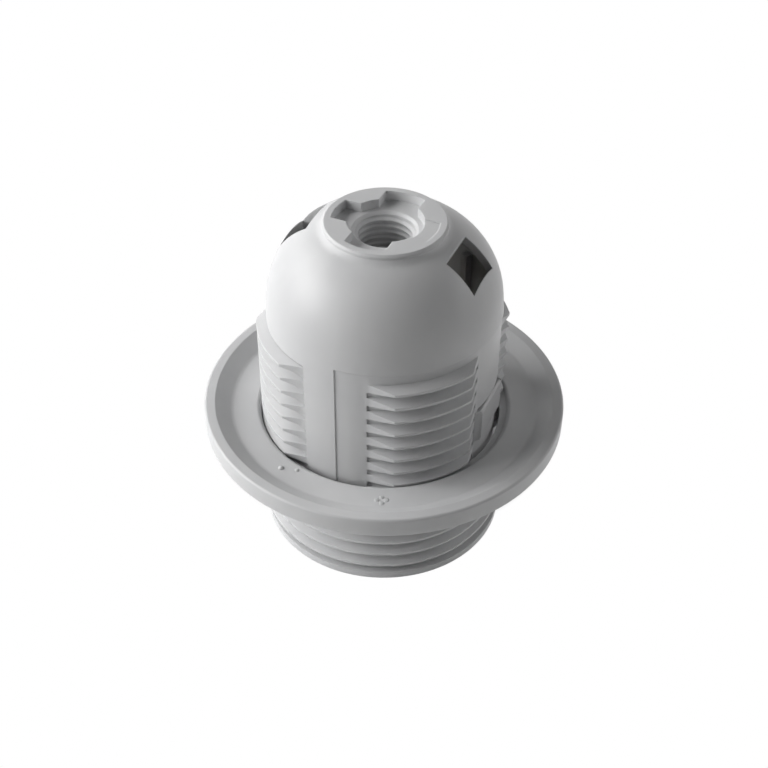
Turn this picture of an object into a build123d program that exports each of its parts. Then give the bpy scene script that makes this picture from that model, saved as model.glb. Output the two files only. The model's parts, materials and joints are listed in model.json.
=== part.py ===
from build123d import *
import math
import os

# Lamp holder for screw-cap lamps, all sizes in millimetres.
# It stands on its open rim: z = 0 is the rim and +Z points to the threaded entry.
# The moulded windows lie on +X and -X, the mould's parting lines and the terminals on +Y and -Y.

# Lamp thread and the snap-in sleeve that carries it
lamp_thread_r = 13.35
lamp_thread_depth = 1.15
lamp_thread_pitch = 3.629
lamp_thread_turns = 5
sleeve_wall = 1.55
sleeve_height = 28.0
sleeve_flange_height = 1.6
sleeve_recess = 0.8
latch_room = 1.25
latch_width = 8.4
latch_height = 5.2
latch_below_top = 0.9
latch_stand = 0.05
latch_lead = 0.35
tongue_length = 10.5
tongue_slit = 0.6
insert_clear = 0.15
lamp_ridge_base = 2.2
lamp_ridge_tip = 0.8
lamp_thread_start = 2.2
contact_slot_room = 1.0

# Barrel with its interrupted outer thread
barrel_wall = 1.2
thread_depth = 1.95
thread_pitch = 2.5
thread_crest_width = 0.4
thread_base_width = 1.65
thread_start = 0.87
thread_top_gap = 2.0
panel_margin = 1.7
skirt_step = 0.4
mould_step = 0.15
flat_inset = 2.28
flat_draft_deg = 1.35
side_gap_half = 5.4
rear_gap_half = 7.6
side_facet_deg = 80.8
lower_band = 12.5
lower_ridge_depth = 1.85
lower_ridge_base = 1.55
segment_half_deg = 46.0
rim_height = 1.2
rim_inset = 0.1
window_clear = 0.2
latch_top_gap = 0.5
stop_rib_width = 1.4
stop_rib_depth = 1.2
stop_rib_count = 6

# Dome, entry boss and dome windows
wiring_room = 5.5
dome_height = 14.4
skirt_height = 2.4
skirt_draft = 0.2
dome_bulge = 1.85
vault_bulge = 2.1
roof_wall = 0.8
boss_r = 9.2
boss_stand = 1.2
boss_cove = 0.5
boss_edge = 0.3
crown_depth = 1.5
crown_inner_r = 5.65
crown_outer_r = 7.9
crown_slot_y = 6.2
crown_slot_x = 5.2
crown_mark_depth = 0.2
entry_minor_r = 4.46
entry_mouth_r = 4.85
entry_length = 7.0
neck_wall = 3.5
vent_width = 7.5
vent_height = 4.2
vent_below_top = 2.15
vent_neck_gap = 1.0

# Shade ring
ring_clear = 0.5
ring_seat_z = 13.95
ring_collar_wall = 2.5
ring_collar_height = 5.2
ring_flange = 1.6
ring_r = 28.5
ring_rim_width = 1.7
ring_rim_height = 3.3
ring_dish_width = 2.6
ring_edge = 0.3

# Contact block, contacts and terminals
block_height = 6.0
divider_width = 1.6
divider_height = 5.6
divider_end_gap = 1.0
strip_thick = 0.5
strip_width = 5.0
centre_tip_drop = 1.5
centre_tip_length = 3.2
side_leg_length = 7.0
pad_length = 4.8
rivet_r = 1.0
rivet_head_r = 1.7
rivet_head_height = 0.7
rivet_inset = 3.55
part_gap = 0.4
pin_clear = 0.05
terminal_thick = 1.0
terminal_width = 6.6
terminal_end = 0.6
wire_gap = 1.2
clamp_thick = 0.8
clamp_length = 5.6
screw_r = 1.45
screw_head_r = 2.6
screw_head_height = 1.8
screw_slot = 0.7
screw_reach = 3.4

# Radii, worked out from the lamp thread outwards
sleeve_r = lamp_thread_r + sleeve_wall
insert_r = sleeve_r + latch_room
bore_r = insert_r + insert_clear
root_r = bore_r + barrel_wall
skirt_r = root_r + skirt_step
crest_r = root_r + thread_depth
flat_y = crest_r - flat_inset
ring_bore_r = crest_r + ring_clear
neck_r = entry_minor_r + neck_wall
rivet_place = lamp_thread_r - rivet_inset
side_leg_r = rivet_place + rivet_head_r + part_gap
screw_place = rivet_place - rivet_head_r - part_gap - clamp_length / 2

# Heights, worked out from the rim upwards
sleeve_top = sleeve_recess + sleeve_height
block_top = sleeve_top + block_height
barrel_height = block_top + wiring_room
total_height = barrel_height + dome_height
dome_start = barrel_height + skirt_height
dome_end = total_height - boss_stand
crown_floor = total_height - crown_depth
entry_low = crown_floor - entry_length
latch_top = sleeve_top - latch_below_top
latch_low = latch_top - latch_height
terminal_top = block_top + terminal_thick
clamp_low = terminal_top + wire_gap
clamp_top = clamp_low + clamp_thick

quarter_turns = (0, 90, 180, 270)
half_turns = (0, 180)
thread_sink = 0.5
overrun = 3.0


def turned(*points):
    # Solid of revolution about Z from (radius, z) corners joined by straight lines
    outline = Polyline(*points, close=True)
    return revolve(make_face(Plane.XZ * outline), Axis.Z)


def ring_solid(inner_r, outer_r, low, high):
    return turned((inner_r, low), (outer_r, low), (outer_r, high), (inner_r, high))


def block(x_span, y_span, z_span):
    # Box between stated limits
    size = [high - low for low, high in (x_span, y_span, z_span)]
    middle = [(low + high) / 2 for low, high in (x_span, y_span, z_span)]
    return Pos(*middle) * Box(*size)


def upright(points, low, high):
    # Prism over a closed outline in plan
    return Pos(0, 0, low) * extrude(make_face(Polyline(*points, close=True)), high - low)


def sector(inner_r, outer_r, low, high, middle_deg, half_deg):
    # Ring segment between two heights, centred on a bearing from +X
    face = make_face(Plane.XZ * Polyline(
        (inner_r, low), (outer_r, low), (outer_r, high), (inner_r, high), close=True))
    return Rot(0, 0, middle_deg - half_deg) * revolve(face, Axis.Z, 2 * half_deg)


def thread_ridge(foot_r, tip_r, base_width, tip_width, pitch, middle_deg, half_deg):
    # Stretch of one thread turn: a revolved ridge tilted so that its ends lie on the helix
    sink = math.copysign(thread_sink, tip_r - foot_r)
    flank = (base_width - tip_width) / (tip_r - foot_r)
    sunk_width = base_width + flank * sink
    outline = Polyline(
        (foot_r - sink, -sunk_width / 2), (tip_r, -tip_width / 2),
        (tip_r, tip_width / 2), (foot_r - sink, sunk_width / 2), close=True)
    ridge = revolve(make_face(Plane.XZ * outline), Axis.Z, 2 * half_deg)
    rise = pitch * half_deg / 360
    tilt = math.degrees(math.atan2(rise, tip_r * math.sin(math.radians(half_deg))))
    return Rot(0, 0, middle_deg) * Rot(tilt, 0, 0) * Rot(0, 0, -half_deg) * ridge


def thread_levels(pitch, start, bearing_deg, low, high):
    # Heights where a helix that starts at bearing 0 crosses a bearing
    first = start + pitch * bearing_deg / 360
    count = math.ceil((high - first) / pitch) + 1
    levels = [first + pitch * turn for turn in range(-1, count)]
    return [level for level in levels if low <= level <= high]


def panel_zone(quarter, low, high):
    # Plan area of one thread panel, between a parting-line facet and a window-side facet
    reach = crest_r + overrun
    gap_half = rear_gap_half if quarter < 2 else side_gap_half
    side_slope = math.tan(math.radians(side_facet_deg))
    side_foot_x = math.sqrt(skirt_r ** 2 - gap_half ** 2) - gap_half / side_slope
    flat_slope = math.tan(math.radians(flat_draft_deg))
    flat_foot_y = flat_y - math.sqrt(crest_r ** 2 - flat_y ** 2) * flat_slope
    corner_x = (flat_foot_y + side_slope * side_foot_x) / (side_slope - flat_slope)
    corner_y = flat_foot_y + flat_slope * corner_x
    if corner_x > reach:
        far = [(reach, side_slope * (reach - side_foot_x)), (reach, flat_foot_y + flat_slope * reach)]
    else:
        far = [(corner_x, corner_y)]
    corners = [(0, 0), (side_foot_x, 0), *far, (0, flat_foot_y)]
    flip_x, flip_y = [(1, 1), (-1, 1), (-1, -1), (1, -1)][quarter]
    return upright([(flip_x * x, flip_y * y) for x, y in corners], low, high)


def make_housing():
    # Dome, entry boss and barrel in one turned moulding
    rim_r = crest_r - rim_inset
    dome_r = skirt_r - skirt_draft
    dome_top = (boss_r + boss_cove, dome_end)
    outside = Polyline((0, 0), (rim_r, 0), (rim_r, rim_height), (skirt_r, rim_height),
                       (skirt_r, barrel_height), (dome_r, dome_start))
    outside += SagittaArc((dome_r, dome_start), dome_top, -dome_bulge)
    outside += Polyline(dome_top, (boss_r, dome_end + boss_cove), (boss_r, total_height - boss_edge),
                        (boss_r - boss_edge, total_height), (0, total_height), (0, 0))
    housing = revolve(make_face(Plane.XZ * outside), Axis.Z)

    # Thread panels sink a little below the skirt, and the +X mould half sits a hair deeper
    sunk = ring_solid(root_r, crest_r, rim_height, barrel_height - panel_margin)
    for quarter in range(4):
        housing -= sunk & panel_zone(quarter, 0, barrel_height)
    housing -= sector(skirt_r - mould_step, crest_r, rim_height, barrel_height, 0, 90)

    # Inside: bore, dome and the neck that takes the entry thread
    roof = dome_end - roof_wall
    inside = Polyline((0, -overrun), (bore_r, -overrun), (bore_r, dome_start))
    inside += SagittaArc((bore_r, dome_start), (neck_r, roof), -vault_bulge)
    inside += Polyline((neck_r, roof), (neck_r, entry_low), (0, entry_low), (0, -overrun))
    housing -= revolve(make_face(Plane.XZ * inside), Axis.Z)
    housing += make_stop_ribs()
    housing += make_thread()
    return housing - make_crown() - make_windows()


def make_stop_ribs():
    # Ribs up the bore that the contact block is pushed against
    rib = block((bore_r - stop_rib_depth, root_r - thread_sink),
                (-stop_rib_width / 2, stop_rib_width / 2), (block_top, dome_start))
    return [Rot(0, 0, 360 / stop_rib_count * place) * rib for place in range(stop_rib_count)]


def make_thread():
    # Full ridges in the four panels, and low ones that run right round near the rim
    ridges = []
    highest = barrel_height - thread_top_gap
    for quarter in range(4):
        bearing = 45 + 90 * quarter
        ridge = thread_ridge(root_r, crest_r, thread_base_width, thread_crest_width, thread_pitch, bearing,
                             segment_half_deg)
        ridge = ridge & panel_zone(quarter, -thread_pitch, thread_pitch)
        for level in thread_levels(thread_pitch, thread_start, bearing, rim_height, highest):
            ridges.append(Pos(0, 0, level) * ridge)
    low_tip = root_r + lower_ridge_depth
    for bearing in quarter_turns:
        ridge = thread_ridge(root_r, low_tip, lower_ridge_base, thread_crest_width, thread_pitch, bearing,
                             segment_half_deg)
        for level in thread_levels(thread_pitch, thread_start, bearing, rim_height, lower_band):
            ridges.append(Pos(0, 0, level) * ridge)
    return ridges


def make_crown():
    # Recess in the boss round the entry: three slots leave lands that lock a turned nipple
    cut_top = total_height + overrun
    reach = ring_solid(0, crown_outer_r, crown_floor, cut_top)
    slots = block((-crown_slot_y / 2, crown_slot_y / 2), (-boss_r, boss_r), (crown_floor, cut_top))
    slots += block((-boss_r, 0), (-crown_slot_x / 2, crown_slot_x / 2), (crown_floor, cut_top))
    slots += block((0, boss_r), (-crown_slot_x / 2, crown_slot_x / 2), (total_height - crown_mark_depth, cut_top))
    crown = ring_solid(0, crown_inner_r, crown_floor, cut_top) + (slots & reach)
    mouth = entry_mouth_r - entry_minor_r
    entry = turned((0, entry_low - overrun), (entry_minor_r, entry_low - overrun),
                   (entry_minor_r, crown_floor - mouth), (entry_mouth_r, crown_floor),
                   (entry_mouth_r, crown_floor + crown_depth / 2), (0, crown_floor + crown_depth / 2))
    return crown + entry


def make_windows():
    # Dome windows and latch windows, both pulled along X
    vent_top = total_height - vent_below_top
    vent = block((neck_r + vent_neck_gap, crest_r + overrun), (-vent_width / 2, vent_width / 2),
                 (vent_top - vent_height, vent_top))
    half = latch_width / 2 + window_clear
    latch = block((sleeve_r, crest_r + overrun), (-half, half),
                  (latch_low - window_clear, latch_top + latch_top_gap))
    return [Rot(0, 0, turn) * window for turn in half_turns for window in (vent, latch)]


def make_shade_ring():
    # Dished flange on a collar that rides the barrel thread
    floor = ring_seat_z + ring_collar_height + ring_flange
    under = floor - ring_flange
    rim_top = under + ring_rim_height
    collar_r = ring_bore_r + ring_collar_wall
    rim_inner_r = ring_r - ring_rim_width
    return turned((ring_bore_r, ring_seat_z), (collar_r, ring_seat_z), (collar_r, under), (ring_r - ring_edge, under),
                  (ring_r, under + ring_edge), (ring_r, rim_top - ring_edge), (ring_r - ring_edge, rim_top),
                  (rim_inner_r, rim_top), (rim_inner_r - ring_dish_width, floor), (ring_bore_r, floor))


def make_sleeve():
    # Tube with a flange at each end, an interrupted lamp thread and two latch tongues
    low = sleeve_recess
    high = sleeve_top
    sleeve = ring_solid(lamp_thread_r, sleeve_r, low, high)
    sleeve += ring_solid(lamp_thread_r, insert_r, low, low + sleeve_flange_height)
    sleeve += ring_solid(lamp_thread_r, insert_r, high - sleeve_flange_height, high)
    half = latch_width / 2
    tip_r = lamp_thread_r - lamp_thread_depth
    ridge_half = 45 - math.degrees(math.asin((half + tongue_slit + part_gap) / tip_r))
    for bearing in (45, 135, 225, 315):
        ridge = thread_ridge(lamp_thread_r, tip_r, lamp_ridge_base, lamp_ridge_tip, lamp_thread_pitch,
                             bearing, ridge_half)
        first = low + lamp_thread_start + lamp_thread_pitch * bearing / 360
        sleeve += [Pos(0, 0, first + lamp_thread_pitch * turn) * ridge for turn in range(lamp_thread_turns)]

    for turn in half_turns:
        slit = block((0, insert_r + overrun), (half, half + tongue_slit),
                     (high - tongue_length, high + overrun))
        crop = block((0, insert_r + overrun), (-half, half), (latch_top, high + overrun))
        sleeve -= [Rot(0, 0, turn) * cut for cut in (slit, mirror(slit, Plane.XZ), crop)]
        sleeve += Rot(0, 0, turn) * make_latch(half)
    slot_half = strip_width / 2 + window_clear
    slot_low = high - side_leg_length - contact_slot_room
    sleeve -= block((-slot_half, slot_half), (tip_r - overrun, sleeve_r + overrun), (slot_low, high + overrun))
    return sleeve


def make_latch(half):
    # Hook that snaps into the barrel's window, with a lead-in at its top
    hook_r = skirt_r + latch_stand
    hook = Polyline((sleeve_r - sleeve_wall / 2, latch_low), (hook_r, latch_low), (hook_r, latch_top - latch_lead),
                    (hook_r - latch_lead, latch_top), (sleeve_r - sleeve_wall / 2, latch_top), close=True)
    return Pos(0, half, 0) * extrude(make_face(Plane.XZ * hook), 2 * half)


def make_contact_block():
    # Disc on the sleeve with rivet holes, blind holes for the screws and a wall between the terminals
    disc = ring_solid(0, insert_r, sleeve_top, block_top)
    wall_length = bore_r - stop_rib_depth - divider_end_gap
    disc += block((-wall_length, wall_length), (-divider_width / 2, divider_width / 2),
                  (block_top, block_top + divider_height))
    screw_room = block_top + terminal_thick - screw_reach
    for side in (-1, 1):
        disc -= Pos(0, side * rivet_place, block_top) * Cylinder(rivet_r + pin_clear, 4 * block_height)
        well = ring_solid(0, screw_r + part_gap, screw_room - wire_gap - part_gap, block_top + overrun)
        disc -= Pos(0, side * screw_place, 0) * well
    return disc


def make_centre_contact():
    # Strip riveted under the block, its arm sloping down to the middle
    pad_out = rivet_place + pad_length / 2
    bend = rivet_place - pad_length / 2
    pad_low = sleeve_top - strip_thick
    tip_low = pad_low - centre_tip_drop
    tip_half = centre_tip_length / 2
    outline = Polyline((-pad_out, pad_low), (-bend, pad_low), (-tip_half, tip_low), (tip_half, tip_low),
                       (tip_half, tip_low + strip_thick), (-tip_half, tip_low + strip_thick), (-bend, sleeve_top),
                       (-pad_out, sleeve_top), close=True)
    strip = Pos(-strip_width / 2, 0, 0) * extrude(make_face(Plane.YZ * outline), strip_width)
    strip -= Pos(0, -rivet_place, sleeve_top) * Cylinder(rivet_r + pin_clear, 4 * strip_thick)
    return strip


def make_side_contact():
    # Strip riveted under the block, bent down along the lamp's threaded shell
    pad_in = rivet_place - pad_length / 2
    pad_low = sleeve_top - strip_thick
    leg_low = sleeve_top - side_leg_length
    outline = Polyline((pad_in, pad_low), (side_leg_r, pad_low), (side_leg_r, leg_low),
                       (side_leg_r + strip_thick, leg_low), (side_leg_r + strip_thick, sleeve_top),
                       (pad_in, sleeve_top), close=True)
    strip = Pos(-strip_width / 2, 0, 0) * extrude(make_face(Plane.YZ * outline), strip_width)
    strip -= Pos(0, rivet_place, sleeve_top) * Cylinder(rivet_r + pin_clear, 4 * strip_thick)
    return strip


def make_rivet(side):
    # Shank through contact, block and terminal, with a head at each end
    low = sleeve_top - strip_thick
    rivet = ring_solid(0, rivet_r, low, terminal_top)
    rivet += ring_solid(0, rivet_head_r, low - rivet_head_height, low)
    rivet += ring_solid(0, rivet_head_r, terminal_top, terminal_top + rivet_head_height)
    return Pos(0, side * rivet_place, 0) * rivet


def make_terminal(side):
    # Brass plate with a rivet hole and the tapped hole of its screw
    far = rivet_place + rivet_head_r + terminal_end
    near = screw_place - clamp_length / 2
    plate = block((-terminal_width / 2, terminal_width / 2), (near, far), (block_top, terminal_top))
    plate -= Pos(0, rivet_place, block_top) * Cylinder(rivet_r + pin_clear, 4 * terminal_thick)
    plate -= Pos(0, screw_place, block_top) * Cylinder(screw_r + pin_clear, 4 * terminal_thick)
    return plate if side > 0 else mirror(plate, Plane.XZ)


def make_clamp(side):
    # Square plate under the screw's head
    half = clamp_length / 2
    plate = block((-terminal_width / 2, terminal_width / 2), (-half, half), (clamp_low, clamp_top))
    plate -= Pos(0, 0, clamp_low) * Cylinder(screw_r + pin_clear, 4 * clamp_thick)
    return Pos(0, side * screw_place, 0) * plate


def make_screw(side):
    # Slotted cheese-head screw
    screw = ring_solid(0, screw_r, terminal_top - screw_reach, clamp_top)
    head_top = clamp_top + screw_head_height
    screw += ring_solid(0, screw_head_r, clamp_top, head_top)
    screw -= block((-screw_head_r, screw_head_r), (-screw_slot / 2, screw_slot / 2),
                   (head_top - screw_head_height / 2, head_top + overrun))
    return Pos(0, side * screw_place, 0) * screw


pieces = {
    "housing": make_housing(),
    "shade_ring": make_shade_ring(),
    "lamp_sleeve": make_sleeve(),
    "contact_block": make_contact_block(),
    "centre_contact": make_centre_contact(),
    "side_contact": make_side_contact(),
    "centre_rivet": make_rivet(-1),
    "side_rivet": make_rivet(1),
    "live_terminal": make_terminal(-1),
    "neutral_terminal": make_terminal(1),
    "live_clamp": make_clamp(-1),
    "neutral_clamp": make_clamp(1),
    "live_screw": make_screw(-1),
    "neutral_screw": make_screw(1)}

os.makedirs("parts", exist_ok=True)
for name, piece in pieces.items():
    export_step(piece, f"parts/{name}.step")
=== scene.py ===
import json
import math

import bmesh
import bpy
from mathutils import Matrix, Vector


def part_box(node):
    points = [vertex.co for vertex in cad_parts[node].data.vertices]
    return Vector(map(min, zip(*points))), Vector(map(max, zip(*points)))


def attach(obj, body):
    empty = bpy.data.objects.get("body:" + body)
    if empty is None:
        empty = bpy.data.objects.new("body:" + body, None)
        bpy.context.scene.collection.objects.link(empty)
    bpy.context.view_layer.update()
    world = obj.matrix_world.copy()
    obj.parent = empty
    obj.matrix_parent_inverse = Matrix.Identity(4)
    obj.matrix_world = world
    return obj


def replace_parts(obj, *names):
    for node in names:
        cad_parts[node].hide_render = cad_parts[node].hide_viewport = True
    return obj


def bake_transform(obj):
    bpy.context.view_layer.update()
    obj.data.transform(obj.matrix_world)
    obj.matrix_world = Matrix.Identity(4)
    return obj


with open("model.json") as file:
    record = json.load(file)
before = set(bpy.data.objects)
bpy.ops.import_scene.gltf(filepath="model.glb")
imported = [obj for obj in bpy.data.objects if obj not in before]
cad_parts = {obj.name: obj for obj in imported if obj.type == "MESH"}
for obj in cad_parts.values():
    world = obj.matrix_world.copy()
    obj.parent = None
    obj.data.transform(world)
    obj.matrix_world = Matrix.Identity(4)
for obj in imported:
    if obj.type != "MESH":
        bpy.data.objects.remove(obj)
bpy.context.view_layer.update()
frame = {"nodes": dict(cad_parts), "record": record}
nodes = frame["nodes"]
mm = 0.001
weld = 0.001 * mm  # points closer than this are one
sharpAngle = math.radians(28)


class Tone:
    # A shader socket that takes plain arithmetic
    def __init__(self, sheet, socket):
        self.sheet = sheet
        self.socket = socket

    def __add__(self, other):
        return self.sheet.make("Math", {"operation": "ADD"}, {0: self, 1: other})

    def __mul__(self, other):
        return self.sheet.make("Math", {"operation": "MULTIPLY"}, {0: self, 1: other})

    __radd__ = __add__
    __rmul__ = __mul__

    def ramp(self, low, high, start=0.0, end=1.0):
        return self.sheet.make("MapRange", {"clamp": True}, {0: self, 1: low, 2: high, 3: start, 4: end})


class Sheet:
    # A node tree and the shader that its nodes feed
    def __init__(self, owner, shader):
        owner.use_nodes = True
        self.owner = owner
        self.tree = owner.node_tree
        self.shader = self.tree.nodes[shader]

    def make(self, kind, settings, inputs, output=0):
        node = self.tree.nodes.new("ShaderNode" + kind)
        for key, value in settings.items():
            setattr(node, key, value)
        self.feed(node, inputs)
        return Tone(self, node.outputs[output])

    def feed(self, node, inputs):
        for key, value in inputs.items():
            if isinstance(value, Tone):
                self.tree.links.new(value.socket, node.inputs[key])
            else:
                node.inputs[key].default_value = value

    def set(self, **inputs):
        self.feed(self.shader, {key.replace("_", " "): value for key, value in inputs.items()})

    def place(self):
        return self.make("TexCoord", {}, {}, "Object")

    def noise(self, size, detail, stretch=(1, 1, 1)):
        spot = self.make("Mapping", {}, {"Vector": self.place(), "Scale": stretch})
        return self.make("TexNoise", {}, {"Vector": spot, "Scale": 1 / (size * mm), "Detail": detail})

    def blend(self, amount, first, second):
        return self.make("Mix", {"data_type": "RGBA"}, {0: amount, 6: first, 7: second}, 2)

    def bump(self, height, depth, normal):
        return self.make("Bump", {}, {"Height": height, "Distance": depth * mm, "Strength": 1.0,
                                      "Normal": normal})


# Noise detail and stretch, and the bands of noise or corner depth that tone, roughness and painted corner
# shade run over
mottle = {"cloudDetail": 3.0, "fineDetail": 2.0, "flowStretch": (1, 1, 0.25), "toneBand": (0.35, 0.65),
          "roughBand": (0.3, 0.7), "paintedShadeBand": (0.15, 0.75)}


def plastic(name, look):
    sheet = Sheet(bpy.data.materials.new(name), "Principled BSDF")
    cloud = sheet.noise(look["cloudSize"], mottle["cloudDetail"])
    flow = sheet.noise(look["flowSize"], mottle["fineDetail"], mottle["flowStretch"])
    grain = sheet.noise(look["grainSize"], mottle["fineDetail"])
    # Ambient occlusion pulls the colour towards a dark tone in corners, creases and grooves: painted shade
    corner = sheet.make("AmbientOcclusion", {"samples": 6}, {"Distance": look["paintedShadeReach"] * mm}, 1)
    paintedShade = corner.ramp(*mottle["paintedShadeBand"], look["paintedShade"], 0.0)
    shade = (cloud * 0.6 + flow * 0.4).ramp(*mottle["toneBand"])
    body = sheet.blend(shade, (*look["dark"], 1), (*look["light"], 1))
    soft = sheet.make("Bevel", {"samples": 6}, {"Radius": look["edge"] * mm})
    sheet.set(Base_Color=sheet.blend(paintedShade, body, (*look["paintedShadeColor"], 1)),
              Roughness=(flow * 0.5 + grain * 0.5).ramp(*mottle["roughBand"], *look["rough"]),
              Normal=sheet.bump(grain * 0.6 + flow * 0.4, look["grainDepth"], soft),
              Specular_IOR_Level=look["gloss"], Subsurface_Weight=look["soft"],
              Subsurface_Scale=look["softReach"] * mm, Subsurface_Radius=(1, 1, 1))
    return sheet.owner


def metal(name, look):
    sheet = Sheet(bpy.data.materials.new(name), "Principled BSDF")
    cloud = sheet.noise(look["cloudSize"], mottle["cloudDetail"])
    rub = sheet.noise(look["rubSize"], mottle["cloudDetail"], look["rubStretch"])
    soft = sheet.make("Bevel", {"samples": 4}, {"Radius": look["edge"] * mm})
    shade = (cloud * 0.7 + rub * 0.3).ramp(*mottle["toneBand"])
    sheet.set(Base_Color=sheet.blend(shade, (*look["dark"], 1), (*look["light"], 1)),
              Roughness=(cloud * 0.4 + rub * 0.6).ramp(*mottle["roughBand"], *look["rough"]),
              Normal=sheet.bump(rub, look["rubDepth"], soft), Metallic=1.0)
    return sheet.owner


shellLook = {"cloudSize": 14, "flowSize": 5, "grainSize": 0.22, "grainDepth": 0.006, "edge": 0.16,
             "dark": (0.635, 0.638, 0.645), "light": (0.685, 0.687, 0.69), "rough": (0.36, 0.46),
             "gloss": 0.42, "soft": 0.2, "softReach": 0.8,
             "paintedShade": 0.3, "paintedShadeReach": 0.9, "paintedShadeColor": (0.4, 0.4, 0.405)}
sleeveLook = {"cloudSize": 10, "flowSize": 4, "grainSize": 0.2, "grainDepth": 0.006, "edge": 0.14,
              "dark": (0.56, 0.562, 0.57), "light": (0.61, 0.612, 0.618), "rough": (0.38, 0.5),
              "gloss": 0.4, "soft": 0.2, "softReach": 0.8,
              "paintedShade": 0.35, "paintedShadeReach": 1.6, "paintedShadeColor": (0.34, 0.34, 0.345)}
insulatorLook = {"cloudSize": 6, "flowSize": 3, "grainSize": 0.12, "grainDepth": 0.01, "edge": 0.14,
                 "dark": (0.66, 0.62, 0.53), "light": (0.74, 0.7, 0.61), "rough": (0.5, 0.65),
                 "gloss": 0.35, "soft": 0.1, "softReach": 0.6,
                 "paintedShade": 0.4, "paintedShadeReach": 1.2, "paintedShadeColor": (0.42, 0.38, 0.31)}
brassLook = {"cloudSize": 3, "rubSize": 0.25, "rubStretch": (1, 0.15, 1), "rubDepth": 0.004, "edge": 0.08,
             "dark": (0.56, 0.4, 0.16), "light": (0.8, 0.62, 0.3), "rough": (0.24, 0.42)}
steelLook = {"cloudSize": 3, "rubSize": 0.2, "rubStretch": (0.2, 1, 1), "rubDepth": 0.004, "edge": 0.08,
             "dark": (0.5, 0.51, 0.53), "light": (0.68, 0.69, 0.7), "rough": (0.26, 0.44)}
slotMaterials = {"shell": plastic("shellPlastic", shellLook), "sleeve": plastic("sleevePlastic", sleeveLook),
                 "insulator": plastic("insulatorPlastic", insulatorLook),
                 "brass": metal("brassStrip", brassLook), "steel": metal("zincSteel", steelLook)}
for entry in frame["record"]["subparts"]:
    mesh = nodes[entry["node"]].data
    mesh.materials.clear()
    mesh.materials.append(slotMaterials[entry["material_slot"]])
print("materials", len(slotMaterials))


def keep(name, form, slot, body=None, finish=None):
    # Finished piece, on its body where it rides one and in its slot's material unless it has its own
    bmesh.ops.recalc_face_normals(form, faces=form.faces)
    mesh = bpy.data.meshes.new(name)
    form.to_mesh(mesh)
    form.free()
    if "custom_normal" in mesh.attributes:  # comes along with a CAD node's mesh
        mesh.attributes.remove(mesh.attributes["custom_normal"])
    mesh.shade_smooth()
    mesh.set_sharp_from_angle(angle=sharpAngle)
    mesh.materials.append(finish or slotMaterials[slot])
    piece = bpy.data.objects.new(name, mesh)
    bpy.context.scene.collection.objects.link(piece)
    piece.modifiers.new("even", "WEIGHTED_NORMAL").keep_sharp = True
    if body:
        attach(piece, body)
    return piece


def everything(form):
    return form.verts[:] + form.edges[:] + form.faces[:]


def vertsOf(parts):
    return [part for part in parts if isinstance(part, bmesh.types.BMVert)]


def turned(form, corners, count):
    # Full turn of a closed outline given as (across, up, corner radius)
    before = set(form.verts)
    outline = [form.verts.new((across * mm, 0, up * mm)) for across, up, radius in corners]
    form.faces.new(outline)
    offsets = []
    for place, vert in enumerate(outline):
        back = outline[place - 1].co - vert.co
        ahead = outline[(place + 1) % len(outline)].co - vert.co
        offsets.append(corners[place][2] * mm / math.tan(back.angle(ahead) / 2))
    for vert, offset in zip(outline, offsets):
        bmesh.ops.bevel(form, geom=[vert], offset=offset, affect="VERTICES", segments=6, profile=0.5,
                        material=-1)
    section = [vert for vert in form.verts if vert not in before]
    loop = list({edge for vert in section for edge in vert.link_edges})
    faces = list({face for vert in section for face in vert.link_faces})
    bmesh.ops.delete(form, geom=faces, context="FACES_ONLY")
    bmesh.ops.spin(form, geom=section + loop, cent=(0, 0, 0), axis=(0, 0, 1), dvec=(0, 0, 0),
                   angle=math.tau, steps=count, use_merge=True)


def thread(look):
    # Ridge swept along a helix, drawn back into its wall at both ends and flared outwards above a level
    form = bmesh.new()
    foot = look["footWidth"] / 2
    tip = look["tipWidth"] / 2
    outline = [form.verts.new((across * mm, 0, up * mm)) for across, up in (
        (look["footRadius"], -foot), (look["tipRadius"], -tip),
        (look["tipRadius"], tip), (look["footRadius"], foot))]
    form.faces.new(outline)
    bmesh.ops.bevel(form, geom=outline[1:3], offset=look["tipRound"] * tip * mm, affect="VERTICES",
                    segments=2, profile=0.5, material=-1)
    bmesh.ops.translate(form, verts=form.verts, vec=(0, 0, look["start"] * mm))
    width = len(form.verts)
    count = int(look["turns"] * look["perTurn"])
    bmesh.ops.spin(form, geom=everything(form), cent=(0, 0, 0), axis=(0, 0, 1), steps=count,
                   dvec=(0, 0, look["pitch"] / look["perTurn"] * mm), angle=math.tau * look["turns"])
    for place, vert in enumerate(form.verts):
        step = place // width
        grown = min(1, step / look["runOut"], (count - step) / look["runOut"])
        wall = look["footRadius"] * mm / vert.co.xy.length
        vert.co.xy *= wall + (1 - wall) * (look["least"] + (1 - look["least"]) * grown)
        flare = max(0, vert.co.z - look["flareFrom"] * mm)
        vert.co.xy *= 1 + flare / vert.co.xy.length
    return form


def pip(form, radius, bearing, height, width, rise):
    spot = Matrix.Rotation(math.radians(bearing), 4, "Z") @ Matrix.Translation((radius * mm, 0, height * mm))
    bmesh.ops.create_uvsphere(form, u_segments=16, v_segments=10, radius=width * mm,
                              matrix=spot @ Matrix.Diagonal((1, 1, rise / width, 1)))


def trim(form, spot, normal):
    # Cut away what lies past a plane and close the cut
    cut = bmesh.ops.bisect_plane(form, geom=everything(form), dist=weld / 10, plane_co=Vector(spot) * mm,
                                 plane_no=normal, clear_outer=True)["geom_cut"]
    bmesh.ops.edgenet_fill(form, edges=[part for part in cut if isinstance(part, bmesh.types.BMEdge)])
    bmesh.ops.recalc_face_normals(form, faces=form.faces)


def prism(corners, draw):
    # Closed outline drawn out along a vector
    form = bmesh.new()
    section = form.faces.new([form.verts.new([value * mm for value in corner]) for corner in corners])
    drawn = bmesh.ops.extrude_face_region(form, geom=[section])["geom"]
    bmesh.ops.translate(form, verts=vertsOf(drawn), vec=[value * mm for value in draw])
    return form


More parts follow.
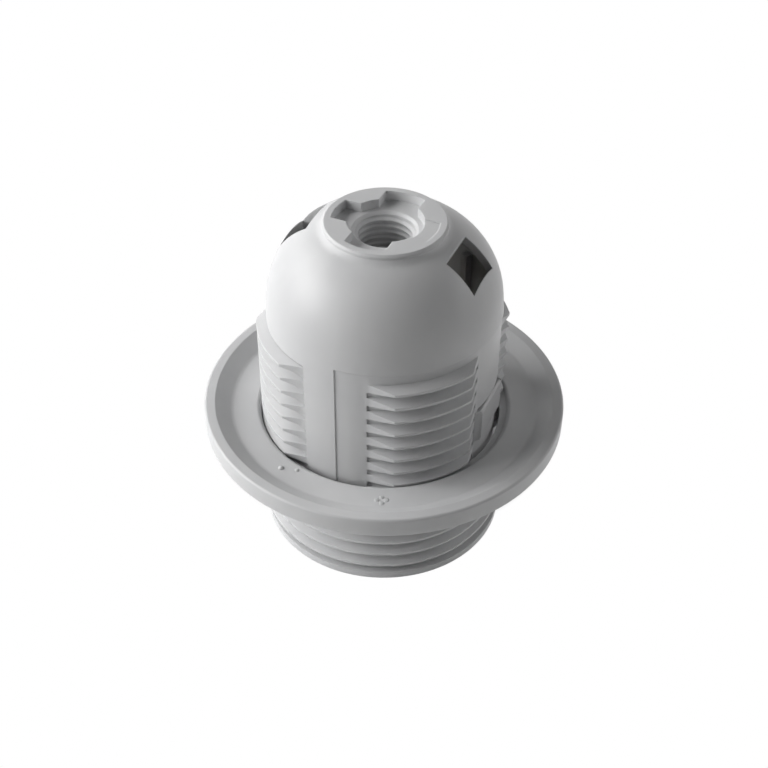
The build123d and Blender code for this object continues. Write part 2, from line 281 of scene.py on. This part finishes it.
def double(form, matrix):
    # Second set of all that is there, moved by a matrix
    other = bmesh.ops.duplicate(form, geom=everything(form))["geom"]
    bmesh.ops.transform(form, verts=vertsOf(other), matrix=matrix)
    bmesh.ops.recalc_face_normals(form, faces=form.faces)


def combine(form, tool, operation):
    # Boolean of two closed forms
    parts = []
    for shape in (form, tool):
        mesh = bpy.data.meshes.new("part")
        shape.to_mesh(mesh)
        shape.free()
        parts.append(bpy.data.objects.new("part", mesh))
        bpy.context.scene.collection.objects.link(parts[-1])
    work = parts[0].modifiers.new("work", "BOOLEAN")
    work.operation = operation
    work.solver = "EXACT"
    work.object = parts[1]
    made = bpy.data.meshes.new_from_object(parts[0].evaluated_get(bpy.context.evaluated_depsgraph_get()))
    result = bmesh.new()
    result.from_mesh(made)
    for mesh in (made, parts[0].data, parts[1].data):
        bpy.data.meshes.remove(mesh)
    return result


# Housing with both windows cut straight down through the dome and cheeks beside both latch hooks
window = {"wide": 7.5, "low": 48.35, "high": 52.55, "inner": 8.96, "near": 10.93, "far": 15.32,
          "from": 44.5, "to": 60, "lip": 52.45, "slope": 50.4, "lap": 0.013}
cheek = {"inner": 16.6, "outer": 17.9, "foot": 17.1, "near": 4.22, "far": 5.05, "low": 22.3, "high": 28.0}
form = bmesh.new()
form.from_mesh(nodes["housing"].data)
bmesh.ops.remove_doubles(form, verts=form.verts, dist=weld)
plug = form.copy()
reach = window["wide"] / 2 + window["lap"]
for spot, normal in (((0, window["inner"], 0), (0, -1, 0)),
                     ((reach, 0, 0), (1, 0, 0)), ((-reach, 0, 0), (-1, 0, 0)),
                     ((0, 0, window["low"] - window["lap"]), (0, 0, -1)),
                     ((0, 0, window["high"] + window["lap"]), (0, 0, 1))):
    trim(plug, spot, normal)
for quarter in (-math.pi / 2, math.pi / 2):
    filler = plug.copy()
    bmesh.ops.rotate(filler, verts=filler.verts, cent=(0, 0, 0), matrix=Matrix.Rotation(quarter, 3, "Z"))
    form = combine(form, filler, "UNION")
plug.free()
shaft = prism([(across, window["wide"] / -2, up) for across, up in (
    (window["near"], window["to"]), (window["near"], window["lip"]), (window["inner"], window["slope"]),
    (window["inner"], window["from"]), (window["far"], window["from"]), (window["far"], window["to"]))],
    (0, window["wide"], 0))
double(shaft, Matrix.Rotation(math.pi, 4, "Z"))
form = combine(form, shaft, "DIFFERENCE")
cheeks = prism([(across, along, cheek["low"]) for across, along in (
    (cheek["inner"], cheek["near"]), (cheek["outer"], cheek["near"]), (cheek["foot"], cheek["far"]),
    (cheek["inner"], cheek["far"]))], (0, 0, cheek["high"] - cheek["low"]))
double(cheeks, Matrix.Diagonal((1, -1, 1, 1)))
double(cheeks, Matrix.Rotation(math.pi, 4, "Z"))
form = combine(form, cheeks, "UNION")
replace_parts(keep("housingShell", form, "shell", "holder"), "housing")
print("housing made")

# Shade ring with soft moulded corners, its inner thread and the pips on its floor
ring = {"bore": 19.62, "collar": 22.45, "rimIn": 26.8, "dishIn": 24.2, "floor": 20.75, "under": 19.15,
        "edge": 0.42, "lip": 0.3, "dish": 1.1, "root": 0.7, "boreEdge": 0.3, "mouth": 0.75, "count": 160}
ringThread = {"footRadius": 20.2, "tipRadius": 18.5, "footWidth": 1.2, "tipWidth": 0.45, "tipRound": 0.6,
              "pitch": 2.5, "turns": 2.18, "start": 14.62, "perTurn": 72, "runOut": 5, "least": 0.02,
              "flareFrom": 99}
ringMarks = {"pips": [(22.2, -110.5, 0.42, 0.3), (20.95, -104.9, 0.34, 0.14)],
             "dots": [(22.6, -68.9), (22.0, -67.1), (23.3, -67.1), (22.6, -65.3)], "dot": 0.36, "rise": 0.1}
low, high = (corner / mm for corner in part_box("shade_ring"))
form = thread(ringThread)
turned(form, [
    (ring["bore"], low.z, ring["boreEdge"]), (ring["collar"], low.z, ring["lip"]),
    (ring["collar"], ring["under"], ring["root"]), (high.x, ring["under"], ring["edge"]),
    (high.x, high.z, ring["edge"]), (ring["rimIn"], high.z, ring["lip"]),
    (ring["dishIn"], ring["floor"], ring["dish"]), (ring["bore"], ring["floor"], ring["mouth"])],
    ring["count"])
for radius, bearing, width, rise in ringMarks["pips"]:
    pip(form, radius, bearing, ring["floor"], width, rise)
for radius, bearing in ringMarks["dots"]:
    pip(form, radius, bearing, ring["floor"], ringMarks["dot"], ringMarks["rise"])
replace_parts(keep("ringShell", form, "shell", "ring"), "shade_ring")
print("shade ring made")

# Entry thread with painted shade darkening its grooves, left plain in the solid
entryThread = {"footRadius": 4.6, "tipRadius": 4.0, "footWidth": 0.82, "tipWidth": 0.12, "tipRound": 0.6,
               "pitch": 1.0, "turns": 6.0, "start": 46.75, "perTurn": 64, "runOut": 10, "least": 0.02,
               "flareFrom": 52.7}
# Heavier and darker painted shade from ambient occlusion in the entry thread's grooves
entryLook = {**shellLook, "paintedShade": 0.85, "paintedShadeReach": 2.2, "paintedShadeColor": (0.2, 0.2, 0.203)}
keep("entryThread", thread(entryThread), "shell", "holder", plastic("entryPlastic", entryLook))
print("entry thread made")

# Contact strips copied with cuts across them over a short stretch beside their rivets
strips = {"centreStrip": {"node": "centre_contact", "start": (0, -8.0, 28.55), "end": (0, -6.6, 28.55)},
          "sideStrip": {"node": "side_contact", "start": (0, 12.15, 28.2), "end": (0, 12.15, 26.8)}}
stripCuts = 6
for name, strip in strips.items():
    start, end = Vector(strip["start"]) * mm, Vector(strip["end"]) * mm
    form = bmesh.new()
    form.from_mesh(nodes[strip["node"]].data)
    bmesh.ops.remove_doubles(form, verts=form.verts, dist=weld)
    along = (end - start).normalized()
    for cut in range(stripCuts + 1):
        bmesh.ops.bisect_plane(form, geom=everything(form), dist=weld / 10, plane_no=along,
                               plane_co=start.lerp(end, cut / stripCuts))
    piece = keep(name, form, "brass")
    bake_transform(piece)
    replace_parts(piece, strip["node"])
print("contact strips made", len(strips))

# Camera at the photograph's viewing angle, turned in degrees
shot = {"sensor": 36, "lens": 60.165, "nearClip": 5, "place": (62.004, -143.057, 154.973),
        "turn": (49.9707, -0.3664, 23.7458)}
camera = bpy.data.objects.new("camera", bpy.data.cameras.new("camera"))
bpy.context.scene.collection.objects.link(camera)
camera.data.sensor_width = shot["sensor"]
camera.data.lens = shot["lens"]
camera.data.clip_start = shot["nearClip"] * mm
camera.rotation_euler = [math.radians(angle) for angle in shot["turn"]]
camera.location = Vector(shot["place"]) * mm
bpy.context.scene.camera = camera
print("camera set")

# Soft lamps round the middle of the holder: bearing and rise in degrees, away and sizes in metres
lightRig = {"key": {"bearing": -147, "rise": 24, "away": 0.6, "wide": 0.32, "high": 0.32, "power": 2.25},
            "left": {"bearing": -177, "rise": 31, "away": 0.6, "wide": 0.42, "high": 0.34, "power": 2.2},
            "front": {"bearing": -45, "rise": 35, "away": 0.6, "wide": 0.36, "high": 0.32, "power": 0.1},
            "fill": {"bearing": 34, "rise": 25, "away": 0.6, "wide": 0.32, "high": 0.32, "power": 0.75},
            "back": {"bearing": 134, "rise": 10, "away": 0.6, "wide": 0.32, "high": 0.32, "power": 0.37}}
middle = Vector((0, 0, 28)) * mm
for name, lamp in lightRig.items():
    data = bpy.data.lights.new(name, "AREA")
    data.shape = "RECTANGLE"
    data.size = lamp["wide"]
    data.size_y = lamp["high"]
    data.energy = lamp["power"]
    light = bpy.data.objects.new(name, data)
    rise = math.radians(lamp["rise"])
    bearing = math.radians(lamp["bearing"])
    aim = Vector((math.cos(bearing) * math.cos(rise), math.sin(bearing) * math.cos(rise), math.sin(rise)))
    light.location = middle + aim * lamp["away"]
    light.rotation_mode = "QUATERNION"
    light.rotation_quaternion = aim.to_track_quat("Z", "Y")
    bpy.context.scene.collection.objects.link(light)
print("lamps", len(lightRig))

# White background, and a floor that shows the shadow on the side away from the camera
stage = {"floorHalf": 3, "floorDrop": 0.1, "floorRough": 0.9, "floorTone": 0.8,
         "shade": (-8.3, 19), "shadeFrom": 24, "shadeTo": 32}


def whiteRays(sheet):
    # 1 on the rays that show the white background: from the camera, off gloss and through glass
    fromCamera, fromGloss, throughGlass = [sheet.make("LightPath", {}, {}, kind) for kind in (
        "Is Camera Ray", "Is Glossy Ray", "Is Transmission Ray")]
    return (fromCamera + fromGloss + throughGlass).ramp(0, 1)


bpy.context.scene.world = bpy.data.worlds.new("studio")
sky = Sheet(bpy.context.scene.world, "Background")
sky.set(Color=(1, 1, 1, 1), Strength=whiteRays(sky))

floorMesh = bpy.data.meshes.new("floor")
form = bmesh.new()
bmesh.ops.create_grid(form, x_segments=1, y_segments=1, size=stage["floorHalf"])
form.to_mesh(floorMesh)
form.free()
floor = bpy.data.objects.new("floor", floorMesh)
floor.location.z = -stage["floorDrop"] * mm
bpy.context.scene.collection.objects.link(floor)
paper = Sheet(bpy.data.materials.new("floorPaper"), "Principled BSDF")
paper.set(Base_Color=(stage["floorTone"],) * 3 + (1,), Roughness=stage["floorRough"])
glow = paper.make("Emission", {}, {"Color": (1, 1, 1, 1), "Strength": 1.0})
away = paper.make("VectorMath", {"operation": "DISTANCE"}, {
    0: paper.place(), 1: (stage["shade"][0] * mm, stage["shade"][1] * mm, 0)}, "Value")
lit = away.ramp(stage["shadeFrom"] * mm, stage["shadeTo"] * mm)
matt = Tone(paper, paper.shader.outputs[0])
mix = paper.make("MixShader", {}, {0: whiteRays(paper) * lit, 1: matt, 2: glow})
paper.feed(paper.tree.nodes["Material Output"], {"Surface": mix})
floorMesh.materials.append(paper.owner)
bpy.context.scene.view_settings.view_transform = "Standard"
print("stage ready")
